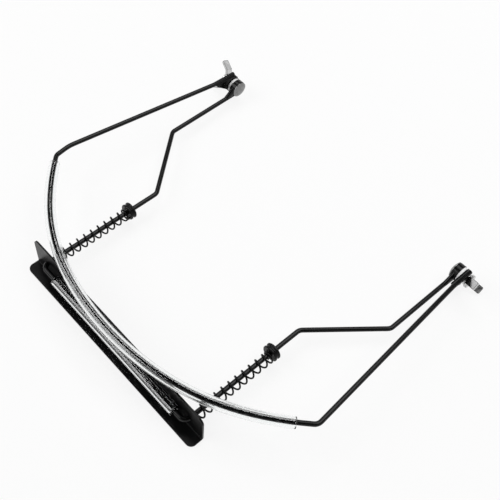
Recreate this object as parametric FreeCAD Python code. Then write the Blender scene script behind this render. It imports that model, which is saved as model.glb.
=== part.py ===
import FreeCAD, Part
import math
import os

# Neck-worn harmonica holder, folded flat and lying on its clamp's foot and on one wing nut.
# Millimetres, +Z up, X from the left pivot to the right one, -Y towards the clamp's front.
# The pieces are built with Y = 0 on the pivot axis and then moved so that the origin is
# the middle of the foot's underside.

# Clearances and overruns
runClear = 0.05         # shaft in a hole, radial
faceClear = 0.05        # flat faces that turn on each other
pressClear = 0.01       # pressed ring on its rod, radial
softClear = 0.3         # rubber jaw, folded yoke and spring ends at rest
overrun = 1.0           # how far a cutter runs past the metal

# Bent rod of both frames
rodRadius = 1.6

# Pivot stack, from the bolt head outwards
axisHeight = 15.5       # above the foot, before the holder settles on the table
headFace = 105.3        # underside of the bolt head from the middle plane
armEyeThick = 4.4
washerThick = 1.8
yokeEyeThick = 1.75
eyeRadius = 6.0
eyeEdge = 0.4           # bevel on the arm eye's plain face
washerRadius = 5.6
toothCount = 30
toothDepth = 0.5
toothInner = 3.4
toothShare = 0.9        # groove width of the tooth pitch

# Arm rod at its eye, and the web that widens from the rod to the eye
armDrop = 3.6           # below the pivot axis
rodSkin = 0.05          # metal over the rod on the eye's inner face
webReach = 12.0
webRootReach = 2.0
webRootHeight = 5.6     # half its height where it starts inside the eye
webRootThick = 2.1      # half its thickness there

# Yoke rod at its eye: it runs past the axis on top of the plate, joined by a tongue
yokeRise = 7.6          # above the pivot axis
yokeRodOut = 1.4        # its middle from the plate's outer face
yokeEndReach = {"left": 2.0, "right": 0.4}  # its end behind the axis
tongueBack = 2.4        # its rear edge on the plate, behind the rod's end
tongueBackRise = 5.0
tongueFront = 6.4       # where it leaves the plate's rim in front of the axis
tongueFrontDrop = 1.2
tongueReach = 16.0      # where the tongue runs out under the rod
tongueRise = 6.4

# Pivot bolt
boltRadius = 2.5
headRadius = 5.8
headHeight = 2.2
headRim = 0.5
boltTip = 0.4           # bevel, also how far the bolt stands out of the tight nut

# Wing nut
neckRadius = 4.2
neckHeight = 2.8
hubRadius = 5.0
hubHeight = 2.1
hubEdge = 0.3
wingThick = 1.5
wingWidth = 5.4
wingCorner = 1.0
wingRoot = 4.4          # radius where the wing starts inside the hub
wingElbow = 7.6         # radius where it bends, and how far that lies out of the hub's middle
wingElbowOut = 1.5
wingTip = 11.2
wingTipOut = 7.6
wingTurn = {"left": -24.0, "right": 35.0}   # degrees from upright, positive leans forwards
nutLoose = {"left": 2.2, "right": 0.0}      # how far the nut is backed off

# Arm frame, in a level plane below the pivot axis
elbowIn = 0.6           # from the rod's place at the eye
elbowReach = 63.4
elbowRadius = 5.5
kneeHalf = 69.8         # the two slide legs
kneeReach = 107.8
kneeRadius = 5.5
crossbarReach = 200.1
cornerRadius = 4.1

# Clear tubes
tubeBore = 2.5
neckTubeRadius = 3.55
jawTubeRadius = 3.5
jawTubeLeftGap = 13.3   # from the leg's middle to the tube's end
jawTubeRightGap = 8.8
neckTubeRight = 116.0   # the tube stops short of the right bend

# Stop collars
collarFromKnee = 23.4
collarRadius = 5.65
collarGroove = 5.0
collarLength = 4.4
collarLip = 1.2
collarEdge = 0.45

# Jaw bracket
plateThick = 1.1
bracketLeftLip = 12.8   # its ends beyond the legs
bracketRightLip = 11.2
bracketHeight = 25.0
footDepth = 10.0
foldInner = 0.6
topCorner = 5.0
footCorner = 4.0

# Springs
wireRadius = 0.575
coilRadius = 3.7
closedPitch = 1.45
closedTurns = 1.0
openTurns = 10.5
springHang = {"left": (0.0, -1.1), "right": (0.9, -0.9)}    # X and Z off the leg's middle
wireStart = {"left": 0.0, "right": -90.0}   # degrees round the leg, at the collar

# Neck yoke, in a plane through its rods at the eyes: the arc over the neck in three radii
# a side, then a bend and a leg. The left leg has one more bend
arcReach = 202.2
arcRadii = (196.0, 148.0, 205.0)
arcTurns = (13.6, 21.6, 9.6)    # degrees, from the middle outwards
yokeBend = 5.5
yokeBendLead = {"left": 5.2, "right": 0.3}  # straight rod between the arc and the bend
eyeBend = 8.0
eyeBendReach = 17.0
bulgeOut = 1.75         # the left leg's second bend, from the corner of the first
bulgeRun = 11.6
bulgeRadius = 25.0

# Worked out from the sizes above
washerFace = headFace + armEyeThick
yokeFace = washerFace + washerThick + faceClear
plateOut = yokeFace + yokeEyeThick
nutFace = plateOut + faceClear
boltEnd = nutFace + neckHeight + hubHeight + boltTip
armMiddle = headFace + rodSkin + rodRadius
yokeMiddle = plateOut + yokeRodOut
elbowHalf = armMiddle - elbowIn
bracketLeft = kneeHalf + bracketLeftLip
bracketRight = kneeHalf + bracketRightLip
legHeight = axisHeight - armDrop
collarReach = kneeReach + collarFromKnee
tubeSag = tubeBore - rodRadius - softClear
plateFront = -(crossbarReach - jawTubeRadius - softClear)
plateRear = plateFront + plateThick
footFront = plateRear - footDepth
footMiddle = (plateRear + footFront) / 2
collarFront = -(collarReach + collarLength / 2)
springStart = collarFront - softClear / 2
springEnd = plateRear + softClear / 2
wingTipSlope = math.atan2(wingTipOut - wingElbowOut, wingTip - wingElbow)
wingTipMost = wingTip + wingThick / 2 * math.sin(wingTipSlope)
sides = {"left": -1, "right": 1}

xAxis = FreeCAD.Vector(1, 0, 0)
yAxis = FreeCAD.Vector(0, 1, 0)
zAxis = FreeCAD.Vector(0, 0, 1)


def at(x, y, z):
    return FreeCAD.Vector(x, y, z)


pivot = at(0, 0, axisHeight)


def disc(centre, normal, radius):
    return Part.Face(Part.Wire(Part.Circle(centre, normal, radius).toShape()))


def line(a, b):
    return Part.LineSegment(a, b).toShape()


def polygon(points):
    return Part.Face(Part.makePolygon(points + [points[0]]))


# Straight runs between the given points, with a tangent arc at each inner one
def bentEdges(points, radii):
    edges = []
    start = points[0]
    for i in range(1, len(points) - 1):
        back = (points[i - 1] - points[i]).normalize()
        ahead = (points[i + 1] - points[i]).normalize()
        half = back.getAngle(ahead) / 2
        radius = radii[i - 1]
        first = points[i] + back * (radius / math.tan(half))
        last = points[i] + ahead * (radius / math.tan(half))
        inward = (back + ahead).normalize()
        middle = points[i] + inward * (radius / math.sin(half) - radius)
        edges.append(line(start, first))
        edges.append(Part.Arc(first, middle, last).toShape())
        start = last
    edges.append(line(start, points[-1]))
    return edges


def rodAlong(edges, radius):
    first = edges[0]
    start = first.valueAt(first.FirstParameter)
    tangent = first.tangentAt(first.FirstParameter)
    return Part.Wire(edges).makePipe(disc(start, tangent, radius))


# One side of the neck arc: its arcs as (centre x, centre y, radius, from, to), then its
# end point and direction
def neckArc():
    arcs = []
    x, y, turned = 0.0, -arcReach, 0.0
    for radius, turn in zip(arcRadii, arcTurns):
        cx = x - radius * math.sin(turned)
        cy = y + radius * math.cos(turned)
        after = turned + math.radians(turn)
        arcs.append((cx, cy, radius, turned, after))
        x = cx + radius * math.sin(after)
        y = cy - radius * math.cos(after)
        turned = after
    return arcs, x, y, turned


def arcEdge(arc, side, height):
    cx, cy, radius, a, b = arc
    ends = []
    for t in (a, (a + b) / 2, b):
        ends.append(at(side * (cx + radius * math.sin(t)), cy - radius * math.cos(t), height))
    if side > 0:
        ends.reverse()
    return Part.Arc(ends[0], ends[1], ends[2]).toShape()


# The arcs from the right end over the middle to the left end
def neckEdges(height, rightEnd=None):
    arcs = neckArc()[0]
    right = list(arcs)
    if rightEnd is not None:
        cx, cy, radius, a, b = right[-1]
        right[-1] = (cx, cy, radius, a, math.asin((rightEnd - cx) / radius))
    edges = [arcEdge(arc, 1, height) for arc in reversed(right)]
    return edges + [arcEdge(arc, -1, height) for arc in arcs]


# The tilt that keeps the neck tube just clear of the bracket's top edge wherever the
# bracket slides
def foldedTilt():
    shoulder = bracketLeft - topCorner
    for cx, cy, radius, a, b in neckArc()[0]:
        if cx + radius * math.sin(a) <= shoulder <= cx + radius * math.sin(b):
            reach = math.sqrt(radius ** 2 - (shoulder - cx) ** 2) - cy
    lift = bracketHeight + softClear + neckTubeRadius + tubeSag - axisHeight - yokeRise
    return math.degrees(math.asin(lift / reach))


def folded(shape):
    shape.rotate(pivot, xAxis, -foldedTilt())
    return shape


# The thick eye of the arm rod, with teeth on its outer face. The web widens from the rod
def armEye():
    body = Part.makeCylinder(eyeRadius, armEyeThick, at(headFace, 0, axisHeight), xAxis)
    rims = [e for e in body.Edges if e.Closed and e.CenterOfMass.x < headFace + eyeEdge]
    body = body.makeChamfer(eyeEdge, rims)

    root = at(headFace + armEyeThick / 2, -webRootReach, axisHeight)
    tip = at(armMiddle, -webReach, legHeight)
    wide = Part.Ellipse(root + zAxis * webRootHeight, root + xAxis * webRootThick, root)
    slim = Part.Circle(tip, yAxis, rodRadius)
    web = Part.makeLoft([Part.Wire(wide.toShape()), Part.Wire(slim.toShape())], True, True)
    eye = body.fuse(web)
    return eye.cut(Part.Compound(toothGrooves(washerFace, 1)))


# The thin eye of the yoke rod, with teeth on its inner face. A tongue rises from the plate
# to the rod and leaves the nut its seat
def yokeEye(side):
    plate = Part.makeCylinder(eyeRadius, yokeEyeThick, at(yokeFace, 0, axisHeight), xAxis)
    start = yokeFace + toothDepth
    outline = [(yokeEndReach[side], yokeRise),
               (yokeEndReach[side] + tongueBack, tongueBackRise), (0, 0), (-tongueFront, -tongueFrontDrop),
               (-tongueReach, tongueRise), (-tongueReach, yokeRise)]
    tongue = polygon([at(start, y, axisHeight + z) for y, z in outline])
    tongue = tongue.extrude(xAxis * (yokeMiddle - start))
    seat = Part.makeCylinder(hubRadius + softClear, yokeMiddle - plateOut + overrun,
                             at(plateOut, 0, axisHeight), xAxis)
    eye = plate.fuse(tongue.cut(seat))
    return eye.cut(Part.Compound(toothGrooves(yokeFace, -1)))


def pivotHole(inner, thick):
    return Part.makeCylinder(boltRadius + runClear, thick + 2 * overrun,
                             at(inner - overrun, 0, axisHeight), xAxis)


# The radial grooves between the teeth. out is +1 where the toothed face looks along +X
def toothGrooves(face, out):
    def section(radius):
        half = toothShare * math.pi * radius / toothCount
        shape = []
        for across, depth in ((-half, toothDepth / 2), (half, toothDepth / 2), (half, 0),
                              (0, -toothDepth), (-half, 0)):
            shape.append(at(face + out * depth, across, axisHeight + radius))
        return Part.makePolygon(shape + [shape[0]])

    groove = Part.makeLoft([section(toothInner), section(eyeRadius + overrun)], True, True)
    grooves = []
    for i in range(toothCount):
        copy = groove.copy()
        copy.rotate(pivot, xAxis, 360.0 * i / toothCount)
        grooves.append(copy)
    return grooves


def armFrame():
    points = [at(armMiddle, 0, legHeight), at(elbowHalf, -elbowReach, legHeight),
              at(kneeHalf, -kneeReach, legHeight), at(kneeHalf, -crossbarReach, legHeight)]
    left = [at(-p.x, p.y, p.z) for p in reversed(points)]
    radii = [elbowRadius, kneeRadius, cornerRadius, cornerRadius, kneeRadius, elbowRadius]
    frame = rodAlong(bentEdges(points + left, radii), rodRadius)
    for side in (-1, 1):
        frame = frame.fuse(onSide(armEye(), side))
        frame = frame.cut(onSide(pivotHole(headFace, armEyeThick), side))
    return frame.removeSplitter()


# The corner of the bend between the arc and a leg that has the given angle to the X axis
def bendCorner(side, legAngle, height):
    arcs, x, y, turned = neckArc()
    run = yokeBendLead[side] + yokeBend * math.tan((legAngle - turned) / 2)
    return at(sides[side] * (x + run * math.cos(turned)), y + run * math.sin(turned), height)


def neckYoke():
    height = axisHeight + yokeRise
    edges = neckEdges(height)
    ahead = edges[0].valueAt(edges[0].FirstParameter)
    last = edges[-1].valueAt(edges[-1].LastParameter)

    eye = at(yokeMiddle, -eyeBendReach, height)
    legAngle = math.pi / 2
    for i in range(4):
        corner = bendCorner("right", legAngle, height)
        legAngle = math.atan2(eye.y - corner.y, eye.x - corner.x)
    right = [at(yokeMiddle, yokeEndReach["right"], height), eye, corner, ahead]

    corner = bendCorner("left", math.atan2(bulgeRun, bulgeOut), height)
    left = [last, corner, corner + at(-bulgeOut, bulgeRun, 0),
            at(-yokeMiddle, -eyeBendReach, height),
            at(-yokeMiddle, yokeEndReach["left"], height)]
    path = bentEdges(right, [eyeBend, yokeBend]) + edges
    path += bentEdges(left, [yokeBend, bulgeRadius, eyeBend])
    yoke = rodAlong(path, rodRadius)
    for name, side in sides.items():
        yoke = yoke.fuse(onSide(yokeEye(name), side))
        yoke = yoke.cut(onSide(pivotHole(yokeFace, yokeEyeThick), side))
    return folded(yoke.removeSplitter())


def neckTube():
    height = axisHeight + yokeRise - tubeSag
    edges = neckEdges(height, neckTubeRight)
    tube = rodAlong(edges, neckTubeRadius).cut(rodAlong(edges, tubeBore))
    return folded(tube)


def crossbarTube():
    start = at(jawTubeLeftGap - kneeHalf, -crossbarReach, legHeight - tubeSag)
    length = 2 * kneeHalf - jawTubeLeftGap - jawTubeRightGap
    tube = Part.makeCylinder(jawTubeRadius, length, start, xAxis)
    return tube.cut(Part.makeCylinder(tubeBore, length, start, xAxis))


# How far the arm frame leans back once the rounded corner of the left nut's lower wing
# meets the table
def restTilt():
    turn = math.radians(abs(wingTurn["left"]))
    cosine, sine = math.cos(turn), math.sin(turn)
    flat = math.cos(wingTipSlope)
    span = math.hypot(flat * cosine, sine)
    radial = wingTipMost - wingCorner * flat + wingCorner * flat ** 2 * cosine / span
    across = wingWidth / 2 - wingCorner + wingCorner * sine / span
    low = axisHeight - radial * cosine - across * sine
    return math.atan2(low, -footMiddle - radial * sine + across * cosine)


# The fold is open by the rest tilt, so that the foot lies flat while the plate stays
# square to the legs
def jawBracket():
    tilt = restTilt()
    foldOuter = foldInner + plateThick
    centreY = plateRear - foldOuter
    centreZ = (centreY - footMiddle) * math.tan(tilt) + foldOuter / math.cos(tilt)
    x = -bracketLeft

    def foldPoint(radius, angle):
        return at(x, centreY + radius * math.sin(angle), centreZ - radius * math.cos(angle))

    under = at(x, footFront, (footFront - footMiddle) * math.tan(tilt))
    over = under + at(0, -math.sin(tilt), math.cos(tilt)) * plateThick
    halfway = (math.pi / 2 + tilt) / 2
    profile = Part.Wire([
        line(under, foldPoint(foldOuter, tilt)),
        Part.Arc(foldPoint(foldOuter, tilt), foldPoint(foldOuter, halfway),
                 foldPoint(foldOuter, math.pi / 2)).toShape(),
        line(foldPoint(foldOuter, math.pi / 2), at(x, plateRear, bracketHeight)),
        line(at(x, plateRear, bracketHeight), at(x, plateFront, bracketHeight)),
        line(at(x, plateFront, bracketHeight), foldPoint(foldInner, math.pi / 2)),
        Part.Arc(foldPoint(foldInner, math.pi / 2), foldPoint(foldInner, halfway),
                 foldPoint(foldInner, tilt)).toShape(),
        line(foldPoint(foldInner, tilt), over),
        line(over, under)])
    bracket = Part.Face(profile).extrude(xAxis * (bracketLeft + bracketRight))

    bracket = roundCorners(bracket, topCorner, True)
    bracket = roundCorners(bracket, footCorner, False)

    for side in (-1, 1):
        hole = Part.makeCylinder(rodRadius + runClear, plateThick + 2 * overrun,
                                 at(side * kneeHalf, plateFront - overrun, legHeight), yAxis)
        bracket = bracket.cut(hole)
    return bracket


# Rounds the two upper corners of the plate, or the two front corners of the foot
def roundCorners(bracket, radius, top):
    edges = []
    for e in bracket.Edges:
        c = e.CenterOfMass
        atEnd = c.x < runClear - bracketLeft or c.x > bracketRight - runClear
        across = abs(c.z - bracketHeight) if top else abs(c.y - footFront)
        if atEnd and across < runClear and abs(e.Length - plateThick) < runClear:
            edges.append(e)
    return bracket.makeFillet(radius, edges)


def stopCollar(side):
    rear = collarReach - collarLength / 2
    bore = rodRadius + pressClear
    groove = (collarRadius - collarGroove)
    points = [(bore, 0), (collarRadius - collarEdge, 0), (collarRadius, collarEdge),
              (collarRadius, collarLip), (collarRadius - groove, collarLip + groove),
              (collarRadius - groove, collarLength - collarLip - groove),
              (collarRadius, collarLength - collarLip), (collarRadius, collarLength - collarEdge),
              (collarRadius - collarEdge, collarLength), (bore, collarLength)]
    x = side * kneeHalf
    outline = polygon([at(x + r, -rear - a, legHeight) for r, a in points])
    return outline.revolve(at(x, 0, legHeight), yAxis, 360)


# The domed bolt, with the head on the eye's inner face
def pivotBolt(side):
    top = headFace - headHeight
    rim = headFace - headRim
    dome = (headRadius ** 2 + (headHeight - headRim) ** 2) / (2 * (headHeight - headRim))
    half = math.asin(headRadius / dome) / 2
    middle = at(top + dome * (1 - math.cos(half)), 0, dome * math.sin(half))
    profile = Part.Wire([
        Part.Arc(at(top, 0, 0), middle, at(rim, 0, headRadius)).toShape(),
        line(at(rim, 0, headRadius), at(headFace, 0, headRadius)),
        line(at(headFace, 0, headRadius), at(headFace, 0, boltRadius)),
        line(at(headFace, 0, boltRadius), at(boltEnd - boltTip, 0, boltRadius)),
        line(at(boltEnd - boltTip, 0, boltRadius), at(boltEnd, 0, boltRadius - boltTip)),
        line(at(boltEnd, 0, boltRadius - boltTip), at(boltEnd, 0, 0)),
        line(at(boltEnd, 0, 0), at(top, 0, 0))])
    bolt = Part.Face(profile).revolve(at(0, 0, 0), xAxis, 360)
    bolt.translate(pivot)
    return onSide(bolt, side)


def onSide(shape, side):
    if side < 0:
        return shape.mirror(at(0, 0, 0), xAxis)
    return shape


def frictionWasher(side):
    start = at(washerFace, 0, axisHeight)
    ring = Part.makeCylinder(washerRadius, washerThick, start, xAxis)
    ring = ring.cut(Part.makeCylinder(boltRadius + runClear, washerThick, start, xAxis))
    return onSide(ring, side)


# One wing as a bent strip, from inside the hub to the splayed tip. up is +1 or -1
def wing(up):
    middle = nutFace + neckHeight + hubHeight / 2
    spine = [(wingRoot, 0), (wingElbow, wingElbowOut), (wingTip, wingTipOut)]
    slopes = []
    for (r, a), (q, b) in zip(spine[:-1], spine[1:]):
        slopes.append(math.atan2(b - a, q - r))
    slopes = [slopes[0], (slopes[0] + slopes[1]) / 2, slopes[1]]
    lean = (slopes[2] - slopes[0]) / 2
    halves = [wingThick / 2, wingThick / 2 / math.cos(lean), wingThick / 2]
    edges = []
    for sign in (1, -1):
        for (r, a), slope, half in zip(spine, slopes, halves):
            edges.append((r + sign * half * math.sin(slope), a - sign * half * math.cos(slope)))
    outline = edges[:3] + edges[:2:-1]
    face = polygon([at(middle + a, -wingWidth / 2, axisHeight + up * r) for r, a in outline])
    strip = face.extrude(yAxis * wingWidth)
    corners = []
    for e in strip.Edges:
        if e.Length < wingThick + runClear and up * (e.CenterOfMass.z - axisHeight) > wingElbow:
            corners.append(e)
    return strip.makeFillet(wingCorner, corners)


def wingNut(side):
    neck = Part.makeCylinder(neckRadius, neckHeight, at(nutFace, 0, axisHeight), xAxis)
    hub = Part.makeCylinder(hubRadius, hubHeight, at(nutFace + neckHeight, 0, axisHeight), xAxis)
    hub = hub.makeChamfer(hubEdge, [e for e in hub.Edges if e.Closed])
    nut = neck.fuse([hub, wing(1), wing(-1)])
    bore = Part.makeCylinder(boltRadius + runClear, neckHeight + hubHeight + 2 * overrun,
                             at(nutFace - overrun, 0, axisHeight), xAxis)
    nut = nut.cut(bore).removeSplitter()
    nut.rotate(pivot, xAxis, wingTurn[side])
    nut.translate(xAxis * nutLoose[side])
    return onSide(nut, sides[side])


# The coil's middle line: closed turns at both ends and open turns between them
coilSpan = springStart - springEnd - 2 * wireRadius
openPitch = (coilSpan - 2 * closedTurns * closedPitch) / openTurns
coilTurns = openTurns + 2 * closedTurns


def coilAxial(turn):
    opened = min(max(turn - closedTurns, 0), openTurns)
    return (turn - opened) * closedPitch + opened * openPitch


def coilPoint(turn, side, middle):
    angle = math.radians(wireStart[side]) - 2 * math.pi * turn
    return middle + at(coilRadius * math.cos(angle), -wireRadius - coilAxial(turn),
                       coilRadius * math.sin(angle))


def coilTangent(turn, side, rate):
    angle = math.radians(wireStart[side]) - 2 * math.pi * turn
    around = 2 * math.pi * coilRadius
    return at(around * math.sin(angle), -rate, -around * math.cos(angle)).normalize()


# The middle of the arc from a to b whose end tangents meet at corner
def arcMiddle(a, b, corner):
    chord = (a + b) * 0.5
    half = (b - a).getAngle(corner - a)
    return chord + (corner - chord) * (math.tan(half / 2) / math.tan(half))


# Two tangent arcs from a to b with the given directions
def biarc(a, alongA, b, alongB):
    span = b - a
    both = alongA + alongB
    square = both.dot(both) - 4
    cross = span.dot(both)
    reach = (cross - math.sqrt(cross ** 2 - square * span.dot(span))) / square
    cornerA = a + alongA * reach
    cornerB = b - alongB * reach
    joint = (cornerA + cornerB) * 0.5
    return [Part.Arc(a, arcMiddle(a, joint, cornerA), joint).toShape(),
            Part.Arc(joint, arcMiddle(joint, b, cornerB), b).toShape()]


def halfTurns():
    stops = [0.0]
    for stretch in (closedTurns, openTurns, closedTurns):
        count = max(1, round(2 * stretch))
        start = stops[-1]
        stops += [start + stretch * (i + 1) / count for i in range(count)]
    return stops


def coilSpring(side):
    hangX, hangZ = springHang[side]
    middle = at(sides[side] * kneeHalf + hangX, springStart, legHeight + hangZ)
    stops = halfTurns()
    rates = []
    for a, b in zip(stops[:-1], stops[1:]):
        rates.append((coilAxial(b) - coilAxial(a)) / (b - a))
    slopes = [rates[0]] + [(r + q) / 2 for r, q in zip(rates[:-1], rates[1:])] + [rates[-1]]
    edges = []
    for i in range(len(rates)):
        a, b = stops[i], stops[i + 1]
        edges += biarc(coilPoint(a, side, middle), coilTangent(a, side, slopes[i]),
                       coilPoint(b, side, middle), coilTangent(b, side, slopes[i + 1]))
    start = coilPoint(0, side, middle)
    along = coilTangent(0, side, slopes[0])
    profile = Part.Wire(Part.Circle(start, along, wireRadius).toShape())
    path = Part.Wire(edges)
    print(side, "spring least gap to itself", round(selfGap(edges), 3))
    return path.makePipeShell([profile], True, False)


# The least gap between turns of the coil, measured on points of its middle line
def selfGap(edges):
    points = []
    for edge in edges:
        points += edge.discretize(6)[:-1]
    perTurn = len(points) / coilTurns
    skip = int(perTurn / 2)
    least = min((points[i] - points[j]).Length
                for i in range(len(points)) for j in range(i + skip, min(len(points), i + 3 * skip)))
    return least - 2 * wireRadius


def allPieces():
    pieces = {"neck_yoke": neckYoke(), "neck_tube": neckTube(), "arm_frame": armFrame(),
              "crossbar_tube": crossbarTube(), "jaw_bracket": jawBracket()}
    for name, side in sides.items():
        pieces[name + "_spring"] = coilSpring(name)
        pieces[name + "_stop_collar"] = stopCollar(side)
        pieces[name + "_pivot_bolt"] = pivotBolt(side)
        pieces[name + "_friction_washer"] = frictionWasher(side)
        pieces[name + "_wing_nut"] = wingNut(name)
    return pieces


os.makedirs("parts", exist_ok=True)
lean = math.degrees(restTilt())
print("folded tilt", round(foldedTilt(), 3), "rest tilt", round(lean, 4))
for name, shape in allPieces().items():
    shape.rotate(at(0, footMiddle, 0), xAxis, -lean)
    shape.translate(at(0, -footMiddle, 0))
    box = shape.BoundBox
    print(name, shape.isValid(), len(shape.Solids), round(shape.Volume, 2),
          [round(v, 2) for v in (box.XMin, box.XMax, box.YMin, box.YMax, box.ZMin, box.ZMax)])
    shape.exportStep("parts/" + name + ".step")
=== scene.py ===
import bpy
import bmesh
import math
from mathutils import Matrix, Vector


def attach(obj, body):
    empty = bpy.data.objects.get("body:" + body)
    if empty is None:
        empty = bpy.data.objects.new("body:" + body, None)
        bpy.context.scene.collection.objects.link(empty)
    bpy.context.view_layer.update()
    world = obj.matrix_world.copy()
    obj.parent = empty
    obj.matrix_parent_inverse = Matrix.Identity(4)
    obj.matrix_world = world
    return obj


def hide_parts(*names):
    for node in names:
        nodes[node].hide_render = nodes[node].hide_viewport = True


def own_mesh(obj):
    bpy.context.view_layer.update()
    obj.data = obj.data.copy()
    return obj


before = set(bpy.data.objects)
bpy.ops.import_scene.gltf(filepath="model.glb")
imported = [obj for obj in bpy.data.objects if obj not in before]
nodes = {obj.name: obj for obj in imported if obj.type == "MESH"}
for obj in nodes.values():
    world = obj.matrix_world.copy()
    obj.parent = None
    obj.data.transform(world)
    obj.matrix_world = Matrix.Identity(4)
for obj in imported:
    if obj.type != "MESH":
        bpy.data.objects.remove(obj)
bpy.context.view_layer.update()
mm = 0.001
bpy.context.scene.view_settings.view_transform = "Standard"
print("holder loaded:", len(nodes), "solids")

speckleLow = 0.3  # nearly all speckle values lie between these two
speckleHigh = 0.7
cornerSamples = 6
paintedShadeFull = 0.88  # cosine between the rounded and the flat surface where the painted corner shade is full
paintedShadeEnd = 0.995  # and where the painted corner shade ends


def startFinish(name):
    finish = bpy.data.materials.new(name)
    finish.use_nodes = True
    tree = finish.node_tree
    return finish, tree, tree.nodes["Principled BSDF"]


def addSpeckle(tree, grain, detail):  # grain is the size of one spot
    place = tree.nodes.new("ShaderNodeTexCoord")
    speckle = tree.nodes.new("ShaderNodeTexNoise")
    speckle.inputs["Scale"].default_value = 1 / grain
    speckle.inputs["Detail"].default_value = detail
    tree.links.new(place.outputs["Object"], speckle.inputs["Vector"])
    return speckle.outputs["Fac"]


def spread(tree, factor, lowColour, highColour, low=speckleLow):  # speckle to two colours
    ramp = tree.nodes.new("ShaderNodeValToRGB")
    ramp.color_ramp.elements[0].position = low
    ramp.color_ramp.elements[1].position = speckleHigh
    ramp.color_ramp.elements[0].color = lowColour
    ramp.color_ramp.elements[1].color = highColour
    tree.links.new(factor, ramp.inputs["Fac"])
    return ramp.outputs["Color"]


def addRange(tree, factor, fromLow, fromHigh, toLow=0.0, toHigh=1.0):
    reach = tree.nodes.new("ShaderNodeMapRange")
    reach.inputs["From Min"].default_value = fromLow
    reach.inputs["From Max"].default_value = fromHigh
    reach.inputs["To Min"].default_value = toLow
    reach.inputs["To Max"].default_value = toHigh
    tree.links.new(factor, reach.inputs["Value"])
    return reach.outputs["Result"]


def addGloss(tree, shader, speckle, gloss):
    rough = addRange(tree, speckle, speckleLow, speckleHigh, gloss[0], gloss[1])
    tree.links.new(rough, shader.inputs["Roughness"])


def roundedNormal(tree, radius):  # the surface as if its corners were rounded
    soft = tree.nodes.new("ShaderNodeBevel")
    soft.samples = cornerSamples
    soft.inputs["Radius"].default_value = radius
    return soft.outputs["Normal"]


def addBump(tree, shader, height, depth, strength, edge=0.0):  # edge softens corners
    bump = tree.nodes.new("ShaderNodeBump")
    bump.inputs["Strength"].default_value = strength
    bump.inputs["Distance"].default_value = depth
    tree.links.new(height, bump.inputs["Height"])
    if edge > 0:
        tree.links.new(roundedNormal(tree, edge), bump.inputs["Normal"])
    tree.links.new(bump.outputs["Normal"], shader.inputs["Normal"])


def paintedEdgeShade(tree, tone, radius, paintedShadeTone):  # painted shade: darkens the tone along the corners
    flat = tree.nodes.new("ShaderNodeNewGeometry")
    turn = tree.nodes.new("ShaderNodeVectorMath")
    turn.operation = "DOT_PRODUCT"
    tree.links.new(roundedNormal(tree, radius), turn.inputs[0])
    tree.links.new(flat.outputs["Normal"], turn.inputs[1])
    mix = tree.nodes.new("ShaderNodeMix")
    mix.data_type = "RGBA"
    mix.inputs["A"].default_value = paintedShadeTone
    tree.links.new(addRange(tree, turn.outputs["Value"], paintedShadeFull, paintedShadeEnd),
                   mix.inputs["Factor"])
    tree.links.new(tone, mix.inputs["B"])
    return mix.outputs["Result"]


def grey(value, tint=0.0):
    return (value, value, value * (1 + tint), 1)


# Black finishes: enamel on the rods, satin paint on the sheet, coated wire, collars
blacks = {
    "rodEnamel": {"dark": 0.0015, "light": 0.004, "gloss": (0.16, 0.28), "level": 0.2,
                  "orangePeel": 0.9 * mm, "peelDepth": 0.015 * mm, "patch": 14 * mm,
                  "round": 0.2 * mm},
    "sheetPaint": {"dark": 0.003, "light": 0.007, "gloss": (0.28, 0.38), "level": 0.14,
                   "orangePeel": 0.35 * mm, "peelDepth": 0.02 * mm, "patch": 9 * mm,
                   "round": 0.25 * mm},
    "springWire": {"dark": 0.002, "light": 0.005, "gloss": (0.26, 0.42), "level": 0.12,
                   "orangePeel": 0.3 * mm, "peelDepth": 0.01 * mm, "patch": 3 * mm,
                   "round": 0.1 * mm},
    "collarPaint": {"dark": 0.002, "light": 0.005, "gloss": (0.26, 0.38), "level": 0.16,
                    "orangePeel": 0.5 * mm, "peelDepth": 0.015 * mm, "patch": 4 * mm,
                    "round": 0.3 * mm},
}
paint = {"darkTint": 0.1, "lightTint": 0.05, "patchDetail": 5.0, "patchLow": 0.35,
         "peelDetail": 1.0, "peelStrength": 0.4}  # the same for all four


def blackFinish(name):
    sizes = blacks[name]
    finish, tree, shader = startFinish(name)
    patches = addSpeckle(tree, sizes["patch"], paint["patchDetail"])
    tone = spread(tree, patches, grey(sizes["dark"], paint["darkTint"]),
                  grey(sizes["light"], paint["lightTint"]), paint["patchLow"])
    tree.links.new(tone, shader.inputs["Base Color"])
    addGloss(tree, shader, patches, sizes["gloss"])
    shader.inputs["Specular IOR Level"].default_value = sizes["level"]
    peel = addSpeckle(tree, sizes["orangePeel"], paint["peelDetail"])
    addBump(tree, shader, peel, sizes["peelDepth"], paint["peelStrength"], sizes["round"])
    return finish


# Plated steel: the wing nuts are bright, the bolts dull, both with painted shade along their
# corners
platings = {
    "nutPlating": {"dark": 0.46, "light": 0.68, "gloss": (0.16, 0.30), "grain": 0.8 * mm,
                   "stain": 2.4 * mm, "grainDepth": 0.015 * mm, "round": 0.5 * mm,
                   "paintedRimShade": 0.03, "rim": 0.8 * mm},
    "boltPlating": {"dark": 0.17, "light": 0.27, "gloss": (0.26, 0.38), "grain": 0.5 * mm,
                    "stain": 1.8 * mm, "grainDepth": 0.015 * mm, "round": 0.3 * mm,
                    "paintedRimShade": 0.12, "rim": 0.3 * mm},
}
plate = {"stainDetail": 6.0, "grainDetail": 4.0, "grainStrength": 0.5}  # the same for both


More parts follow.
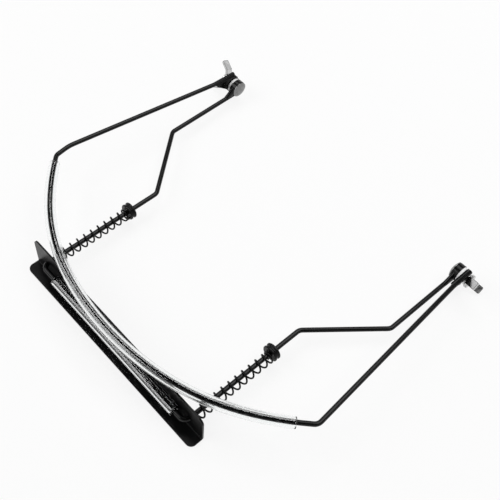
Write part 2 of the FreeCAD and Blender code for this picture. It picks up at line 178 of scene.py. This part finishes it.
def platedSteel(name):
    sizes = platings[name]
    finish, tree, shader = startFinish(name)
    stain = addSpeckle(tree, sizes["stain"], plate["stainDetail"])
    tone = spread(tree, stain, grey(sizes["dark"]), grey(sizes["light"]))
    # painted shade: the tone is darkened along the corners
    tone = paintedEdgeShade(tree, tone, sizes["rim"], grey(sizes["paintedRimShade"]))
    tree.links.new(tone, shader.inputs["Base Color"])
    addGloss(tree, shader, stain, sizes["gloss"])
    shader.inputs["Metallic"].default_value = 1.0
    grain = addSpeckle(tree, sizes["grain"], plate["grainDetail"])
    addBump(tree, shader, grain, sizes["grainDepth"], plate["grainStrength"], sizes["round"])
    return finish


# Clear flexible tube, slightly wavy and with a haze of handling
vinyl = {"dark": (0.95, 0.965, 0.965, 1), "light": (0.985, 0.99, 0.99, 1),
         "gloss": (0.04, 0.07), "bending": 1.52, "haze": 9 * mm, "hazeDetail": 3.0,
         "wave": 14 * mm, "waveDetail": 1.0, "waveDepth": 0.02 * mm, "waveStrength": 0.3}


def clearVinyl():
    finish, tree, shader = startFinish("clearVinyl")
    haze = addSpeckle(tree, vinyl["haze"], vinyl["hazeDetail"])
    tone = spread(tree, haze, vinyl["dark"], vinyl["light"])
    tree.links.new(tone, shader.inputs["Base Color"])
    addGloss(tree, shader, haze, vinyl["gloss"])
    shader.inputs["Transmission Weight"].default_value = 1.0
    shader.inputs["IOR"].default_value = vinyl["bending"]
    wave = addSpeckle(tree, vinyl["wave"], vinyl["waveDetail"])
    addBump(tree, shader, wave, vinyl["waveDepth"], vinyl["waveStrength"])
    return finish


# White nylon of the friction washers
nylon = {"dark": 0.93, "light": 0.97, "gloss": (0.38, 0.5), "spot": 1.5 * mm, "spotDetail": 4.0,
         "grain": 0.375 * mm, "grainDetail": 2.0, "grainDepth": 0.02 * mm, "grainStrength": 0.4}


def whiteNylon():
    finish, tree, shader = startFinish("whiteNylon")
    spots = addSpeckle(tree, nylon["spot"], nylon["spotDetail"])
    tone = spread(tree, spots, grey(nylon["dark"]), grey(nylon["light"]))
    tree.links.new(tone, shader.inputs["Base Color"])
    addGloss(tree, shader, spots, nylon["gloss"])
    grain = addSpeckle(tree, nylon["grain"], nylon["grainDetail"])
    addBump(tree, shader, grain, nylon["grainDepth"], nylon["grainStrength"])
    return finish


rodEnamel = blackFinish("rodEnamel")
sheetPaint = blackFinish("sheetPaint")
springWire = blackFinish("springWire")
collarPaint = blackFinish("collarPaint")
nutSteel = platedSteel("nutPlating")
boltSteel = platedSteel("boltPlating")
vinylTube = clearVinyl()
nylonWhite = whiteNylon()

finishOf = {
    "neck_yoke": rodEnamel, "arm_frame": rodEnamel, "jaw_bracket": sheetPaint,
    "neck_tube": vinylTube, "crossbar_tube": vinylTube,
    "left_stop_collar": collarPaint, "right_stop_collar": collarPaint,
    "left_pivot_bolt": boltSteel, "right_pivot_bolt": boltSteel,
    "left_wing_nut": nutSteel, "right_wing_nut": nutSteel,
    "left_friction_washer": nylonWhite, "right_friction_washer": nylonWhite,
    "left_spring": springWire, "right_spring": springWire,
}
for name, finish in finishOf.items():
    nodes[name].data.materials.clear()
    nodes[name].data.materials.append(finish)
print("finishes on:", len(finishOf), "nodes")


def addPiece(name, verts, faces, finish):
    mesh = bpy.data.meshes.new(name)
    mesh.from_pydata(verts, [], faces)
    mesh.shade_smooth()
    mesh.materials.append(finish)
    piece = bpy.data.objects.new(name, mesh)
    bpy.context.scene.collection.objects.link(piece)
    return piece


# How the holder lies: the yoke is folded down on its pivots, then all of it leans back
lie = {"pivotHeight": 15.5 * mm, "pivotReach": 200.2 * mm, "fold": 1.965, "lean": 1.1116}


def leaned(point):  # from a holder lying level to one at rest
    return Matrix.Rotation(-math.radians(lie["lean"]), 4, "X") @ point


def foldedDown(point):
    height = Vector((0, 0, lie["pivotHeight"]))
    turned = Matrix.Rotation(-math.radians(lie["fold"]), 4, "X") @ (point - height)
    return turned + height


def standing(point):  # the pivots stand at pivotReach behind the front of the holder
    return point + Vector((0, lie["pivotReach"], 0))


# Clear tubes, as smooth sleeves with softened cut ends
sleeves = {
    "neck": {"arcReach": 202.2 * mm, "radii": (196 * mm, 148 * mm, 205 * mm),
             "turns": (13.6, 21.6, 9.6), "rightEnd": 116 * mm, "height": 22.5 * mm,
             "outer": 3.55 * mm, "bore": 2.5 * mm},
    "jaw": {"from": -56.5 * mm, "to": 61.0 * mm, "reach": 200.1 * mm, "height": 11.3 * mm,
            "outer": 3.5 * mm, "bore": 2.5 * mm},
    "lip": 0.22 * mm, "step": 1.6 * mm, "sides": 36,
}


def neckHalf(end=None):  # points and headings from the middle of the neck outwards
    sizes = sleeves["neck"]
    x, y, turned = 0.0, -sizes["arcReach"], 0.0
    points = [(x, y, turned)]
    for radius, turn in zip(sizes["radii"], sizes["turns"]):
        cx = x - radius * math.sin(turned)
        cy = y + radius * math.cos(turned)
        after = turned + math.radians(turn)
        if end is not None and cx + radius * math.sin(after) > end:
            after = math.asin((end - cx) / radius)
        count = math.ceil(radius * (after - turned) / sleeves["step"])
        for i in range(1, count + 1):
            angle = turned + (after - turned) * i / count
            points.append((cx + radius * math.sin(angle), cy - radius * math.cos(angle), angle))
        x, y, turned = points[-1]
    return points


def neckLine():  # from the right end to the left one: place, sideways direction
    right = list(reversed(neckHalf(sleeves["neck"]["rightEnd"])))
    left = [(-x, y, -a) for x, y, a in neckHalf()[1:]]
    height = sleeves["neck"]["height"]
    return [(Vector((x, y, height)), Vector((math.sin(a), -math.cos(a), 0)))
            for x, y, a in right + left]


def jawLine():
    sizes = sleeves["jaw"]
    length = sizes["to"] - sizes["from"]
    count = math.ceil(length / sleeves["step"])
    return [(Vector((sizes["from"] + length * i / count, -sizes["reach"], sizes["height"])),
             Vector((0, -1, 0))) for i in range(count + 1)]


def makeSleeve(name, line, sizes, place):
    lip = sleeves["lip"]
    sides = sleeves["sides"]
    first = (line[1][0] - line[0][0]).normalized()
    last = (line[-1][0] - line[-2][0]).normalized()
    rings = [(line[0][0], line[0][1], lip), (line[0][0] + first * lip, line[0][1], 0)]
    rings += [(point, aside, 0) for point, aside in line[1:-1]]
    rings += [(line[-1][0] - last * lip, line[-1][1], 0), (line[-1][0], line[-1][1], lip)]
    loops = [(p, n, sizes["outer"] - cut) for p, n, cut in rings]
    loops += [(p, n, sizes["bore"] + cut) for p, n, cut in reversed(rings)]
    up = Vector((0, 0, 1))
    verts = []
    faces = []
    for point, aside, radius in loops:
        for k in range(sides):
            angle = 2 * math.pi * k / sides
            spot = point + (aside * math.cos(angle) + up * math.sin(angle)) * radius
            verts.append(place(spot))
    for i in range(len(loops)):
        j = (i + 1) % len(loops)
        for k in range(sides):
            m = (k + 1) % sides
            faces.append((i * sides + k, i * sides + m, j * sides + m, j * sides + k))
    piece = addPiece(name, verts, faces, vinylTube)
    skin = bmesh.new()
    skin.from_mesh(piece.data)
    bmesh.ops.recalc_face_normals(skin, faces=skin.faces)
    skin.to_mesh(piece.data)
    skin.free()
    return piece


neckSleeve = makeSleeve("neckSleeve", neckLine(), sleeves["neck"],
                        lambda p: leaned(standing(foldedDown(p))))
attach(neckSleeve, "neck_yoke")
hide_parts("neck_tube")
jawSleeve = makeSleeve("jawSleeve", jawLine(), sleeves["jaw"], lambda p: leaned(standing(p)))
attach(jawSleeve, "arm_frame")
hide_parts("crossbar_tube")
print("tubes drawn")


# Springs as wire tubes
spring = {
    "wire": 0.575 * mm, "coil": 3.7 * mm, "closedPitch": 1.45 * mm, "openPitch": 5.471 * mm,
    "closedTurns": 1.0, "openTurns": 10.5, "stepsPerTurn": 40, "sides": 12,
    "rear": 66.65 * mm, "height": 11.9 * mm, "leg": {"left": -69.8 * mm, "right": 69.8 * mm},
    "hang": {"left": (0.0, -1.1 * mm), "right": (0.9 * mm, -0.9 * mm)},
    "wireStart": {"left": 0, "right": -90}, "squashedTo": 0.348,
}


def coilMiddle(side):  # the coil's middle, sideways and up
    hangX, hangZ = spring["hang"][side]
    return spring["leg"][side] + hangX, spring["height"] + hangZ


def springPoint(turn, side):
    opened = min(max(turn - spring["closedTurns"], 0), spring["openTurns"])
    along = (turn - opened) * spring["closedPitch"] + opened * spring["openPitch"]
    angle = math.radians(spring["wireStart"][side]) - 2 * math.pi * turn
    x, z = coilMiddle(side)
    return Vector((x + spring["coil"] * math.cos(angle),
                   spring["rear"] - spring["wire"] - along,
                   z + spring["coil"] * math.sin(angle)))


def makeSpring(side):
    sides = spring["sides"]
    turns = spring["openTurns"] + 2 * spring["closedTurns"]
    steps = int(turns * spring["stepsPerTurn"])
    points = [springPoint(turns * i / steps, side) for i in range(steps + 1)]
    x, z = coilMiddle(side)
    verts = []
    faces = []
    for i, point in enumerate(points):
        before = points[max(i - 1, 0)]
        after = points[min(i + 1, steps)]
        along = (after - before).normalized()
        outward = (point - Vector((x, point.y, z))).normalized()
        across = along.cross(outward).normalized()
        outward = across.cross(along)
        for k in range(sides):
            angle = 2 * math.pi * k / sides
            ring = outward * math.cos(angle) + across * math.sin(angle)
            verts.append(leaned(point + ring * spring["wire"]))
    for i in range(steps):
        for k in range(sides):
            a = i * sides + k
            b = i * sides + (k + 1) % sides
            faces.append((a, a + sides, b + sides, b))
    faces.append(tuple(range(sides)))
    faces.append(tuple(steps * sides + k for k in reversed(range(sides))))
    piece = addPiece(side + "SpringWire", verts, faces, springWire)
    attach(piece, "arm_frame")
    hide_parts(side + "_spring")
    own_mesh(piece)


for side in ("left", "right"):
    makeSpring(side)
print("springs wound")


# Pale floor with a low rim far away, so that low views see it too
floor = {"radius": 3.0, "rim": 1.1, "rise": 0.9, "riseSteps": 8, "around": 96,
         "drop": 0.2 * mm, "tone": 0.95, "rough": 0.9, "level": 0.1, "whiteShare": 0.86}


def addMath(tree, operation, first):
    node = tree.nodes.new("ShaderNodeMath")
    node.operation = operation
    tree.links.new(first, node.inputs[0])
    return node


def paleFinish():  # white where it is seen or mirrored, grey in the light that it throws back
    finish, tree, shader = startFinish("paleFloor")
    shader.inputs["Base Color"].default_value = grey(floor["tone"])
    shader.inputs["Roughness"].default_value = floor["rough"]
    shader.inputs["Specular IOR Level"].default_value = floor["level"]
    rays = tree.nodes.new("ShaderNodeLightPath").outputs
    mirrored = addMath(tree, "MAXIMUM", rays["Is Glossy Ray"])
    tree.links.new(rays["Is Transmission Ray"], mirrored.inputs[1])
    seen = addMath(tree, "MAXIMUM", rays["Is Camera Ray"])
    tree.links.new(mirrored.outputs["Value"], seen.inputs[1])
    share = addMath(tree, "MULTIPLY", seen.outputs["Value"])
    share.inputs[1].default_value = floor["whiteShare"]
    white = tree.nodes.new("ShaderNodeEmission")
    mix = tree.nodes.new("ShaderNodeMixShader")
    tree.links.new(share.outputs["Value"], mix.inputs["Fac"])
    tree.links.new(shader.outputs["BSDF"], mix.inputs[1])
    tree.links.new(white.outputs["Emission"], mix.inputs[2])
    tree.links.new(mix.outputs["Shader"], tree.nodes["Material Output"].inputs["Surface"])
    return finish


def makeFloor():
    around = floor["around"]
    profile = [(floor["radius"], 0.0)]
    for i in range(1, floor["riseSteps"] + 1):
        angle = math.pi / 2 * i / floor["riseSteps"]
        profile.append((floor["radius"] + floor["rise"] * math.sin(angle),
                        floor["rise"] * (1 - math.cos(angle))))
    profile.append((floor["radius"] + floor["rise"], floor["rise"] + floor["rim"]))
    verts = [(0, 0, -floor["drop"])]
    faces = []
    for radius, height in profile:
        for k in range(around):
            angle = 2 * math.pi * k / around
            verts.append((radius * math.cos(angle), radius * math.sin(angle),
                          height - floor["drop"]))
    for k in range(around):
        faces.append((0, 1 + k, 1 + (k + 1) % around))
    for ring in range(len(profile) - 1):
        for k in range(around):
            a = 1 + ring * around + k
            b = 1 + ring * around + (k + 1) % around
            faces.append((a, a + around, b + around, b))
    piece = addPiece("paleFloor", verts, faces, paleFinish())


makeFloor()
print("floor laid")

# Soft lamps and a dim room
roomTone = 0.02
lamps = {
    "rearBox": {"at": (0.0, 0.75, 1.5), "aim": (0.0, 0.75, 0), "size": (2.2, 0.9), "watts": 22},
    "frontBox": {"at": (-0.85, -0.95, 1.25), "aim": (0, 0.1, 0), "size": (1.3, 1.0),
                 "watts": 16},
}

world = bpy.data.worlds.new("studio")
bpy.context.scene.world = world
world.use_nodes = True
world.node_tree.nodes["Background"].inputs["Color"].default_value = grey(roomTone)
world.node_tree.nodes["Background"].inputs["Strength"].default_value = 1.0

for name, lamp in lamps.items():
    light = bpy.data.lights.new(name, "AREA")
    light.shape = "RECTANGLE"
    light.size, light.size_y = lamp["size"]
    light.energy = lamp["watts"]
    piece = bpy.data.objects.new(name, light)
    bpy.context.scene.collection.objects.link(piece)
    place = Vector(lamp["at"])
    piece.location = place
    piece.rotation_euler = (Vector(lamp["aim"]) - place).to_track_quat("-Z", "Y").to_euler()
print("lamps lit:", len(lamps))

# Camera at the photograph's angle
shot = {
    "at": (0.218103, -0.114817, 0.469069),
    "right": (0.674585, 0.736601, 0.048524),
    "up": (-0.630761, 0.541011, 0.55628),
    "lens": 60.77, "sensor": 36, "nearest": 0.01,
}
lens = bpy.data.cameras.new("shot")
lens.sensor_fit = "HORIZONTAL"
lens.sensor_width = shot["sensor"]
lens.lens = shot["lens"]
lens.clip_start = shot["nearest"]
camera = bpy.data.objects.new("shot", lens)
bpy.context.scene.collection.objects.link(camera)
right = Vector(shot["right"])
up = Vector(shot["up"])
turned = Matrix((right, up, right.cross(up))).transposed().to_4x4()
camera.matrix_world = Matrix.Translation(shot["at"]) @ turned
bpy.context.scene.camera = camera
print("camera set")
